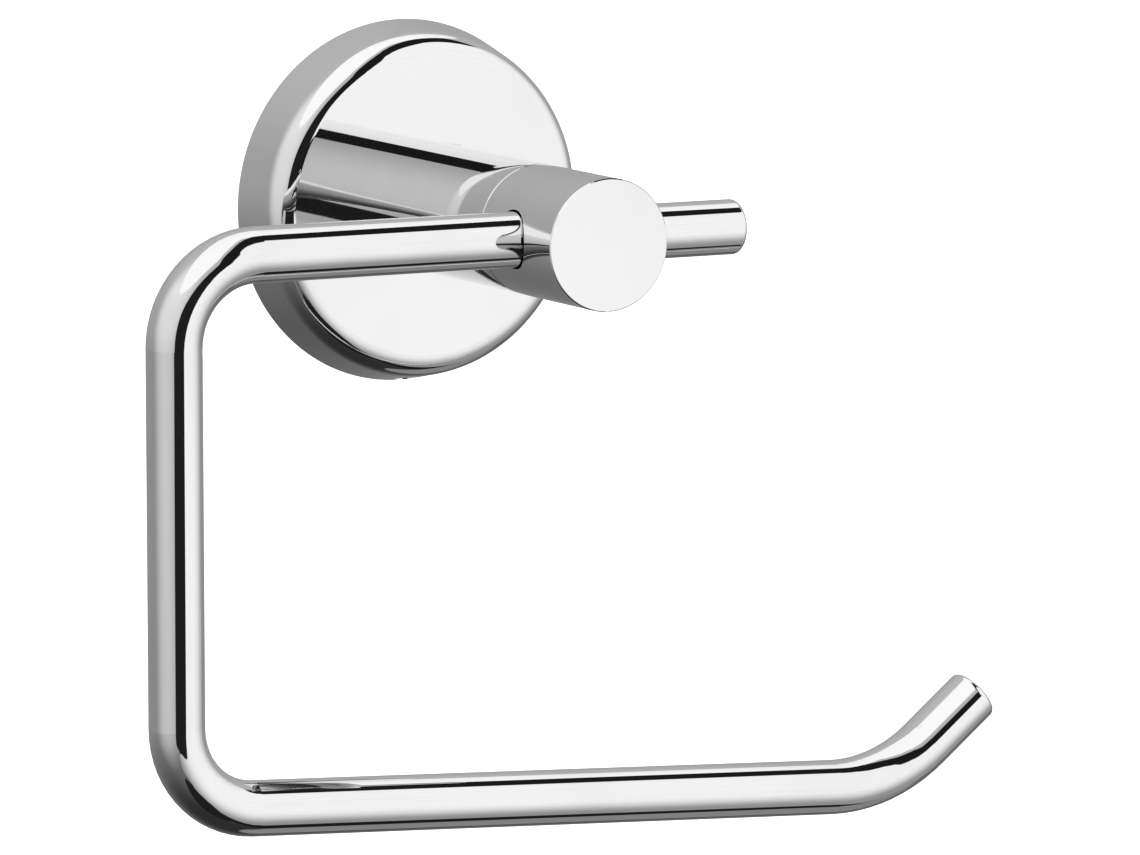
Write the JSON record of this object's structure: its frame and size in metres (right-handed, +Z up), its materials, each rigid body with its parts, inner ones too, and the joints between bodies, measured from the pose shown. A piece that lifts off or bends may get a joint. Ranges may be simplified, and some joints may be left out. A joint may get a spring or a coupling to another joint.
{
  "type": "toilet paper holder",
  "caption": "Wall-mounted toilet roll holder: round flange, cylindrical post and an open bent rod arm that pivots in the post's cross-bore.",
  "frame": {"origin": "on the wall plane, where the post's axis meets it", "axes": "+Z up, +X to the right when facing the wall, +Y into the wall, so the post stands out along -Y"},
  "size_m": [0.1377, 0.0881, 0.1142],
  "materials": {
    "chrome_plate": "mirror-bright chrome plating over brass",
    "cast_zinc": "as-cast zinc alloy, matte",
    "zinc_plated_steel": "bright zinc-plated steel",
    "stainless_steel": "plain stainless steel",
    "nylon": "moulded grey nylon",
    "acetal": "turned white acetal"
  },
  "bodies": {
    "fixed_post": {"flange_cover": "chrome_plate", "post_neck": "chrome_plate", "post_head": "chrome_plate", "wall_plate": "cast_zinc", "wall_screws": "zinc_plated_steel", "wall_plugs": "nylon", "flange_grub_screw": "stainless_steel", "locating_pin": "stainless_steel", "post_screw": "zinc_plated_steel", "post_washer": "zinc_plated_steel", "post_spring_washer": "zinc_plated_steel", "keeper_screw": "stainless_steel", "keeper_pin": "acetal"},
    "swing_arm": {"roll_arm": "chrome_plate"}
  },
  "joints": [
    {"name": "arm_swing", "type": "hinge", "parent": "fixed_post", "child": "swing_arm", "pos_m": [0, -0.051, 0], "axis": [-1, 0, 0], "range_deg": [-5, 95]}
  ]
}
